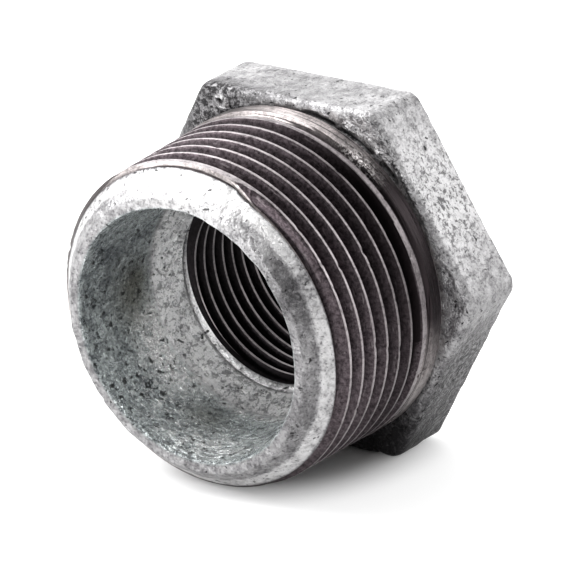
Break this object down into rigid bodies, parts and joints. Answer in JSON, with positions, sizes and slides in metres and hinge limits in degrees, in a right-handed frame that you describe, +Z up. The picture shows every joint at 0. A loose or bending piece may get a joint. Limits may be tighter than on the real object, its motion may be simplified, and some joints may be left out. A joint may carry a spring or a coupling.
{
  "type": "hex bushing",
  "caption": "Galvanised malleable-iron hex bushing with a taper male pipe thread, a hexagonal head, a cored recess and a smaller parallel female pipe thread.",
  "frame": {"origin": "centre of the head's outer face, where the female thread opens", "axes": "+Y along the axis and out of the female port, the male end looks to -Y; +Z up, square to the top and bottom flats of the hexagon; +X to the right seen from the male end"},
  "size_m": [0.0504, 0.0315, 0.0444],
  "materials": {
    "galvanised_iron": "hot-dip galvanised cast skin, threads and land turned bare"
  },
  "bodies": {
    "root": {"hex_bushing": "galvanised_iron"}
  },
  "joints": []
}
